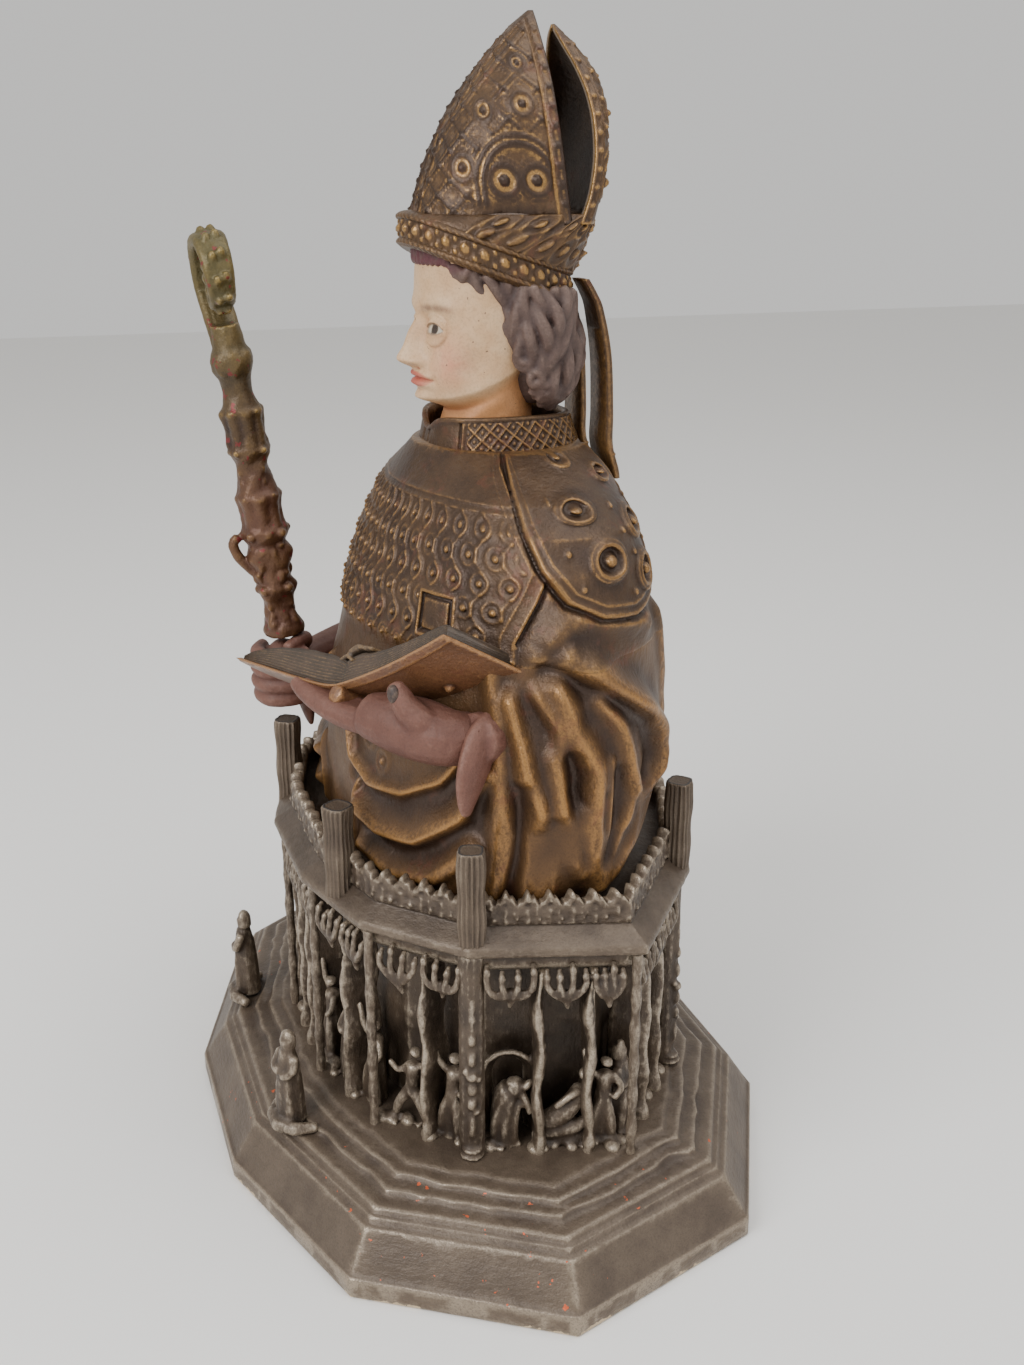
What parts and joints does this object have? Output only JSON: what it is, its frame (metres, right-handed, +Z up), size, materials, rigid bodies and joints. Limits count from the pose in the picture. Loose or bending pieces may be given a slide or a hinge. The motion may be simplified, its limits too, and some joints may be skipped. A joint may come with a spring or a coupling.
{
  "type": "reliquary bust",
  "caption": "Painted plaster bust of a mitred bishop with open book and staff, standing in the parapet of a polygonal socle with figured niches.",
  "frame": {"origin": "centre of the plinth's plan, on its flat underside", "axes": "+Z up; the figure looks along -Y, and its left hand is at +X"},
  "size_m": [0.314, 0.2135, 0.4203],
  "materials": {
    "silvered_plaster": "plaster painted grey-brown with silver rubbed on the ridges",
    "bronzed_plaster": "plaster painted dark bronze with gold rubbed on the folds",
    "painted_face": "matt cream flesh paint with pink cheeks",
    "painted_hair": "matt grey-mauve brown paint",
    "painted_glove": "dusty pink-brown paint",
    "gilt_plaster": "gold paint over dark maroon ground"
  },
  "bodies": {
    "root": {"socle": "silvered_plaster", "bust": "bronzed_plaster", "crozier": "gilt_plaster"}
  },
  "joints": []
}
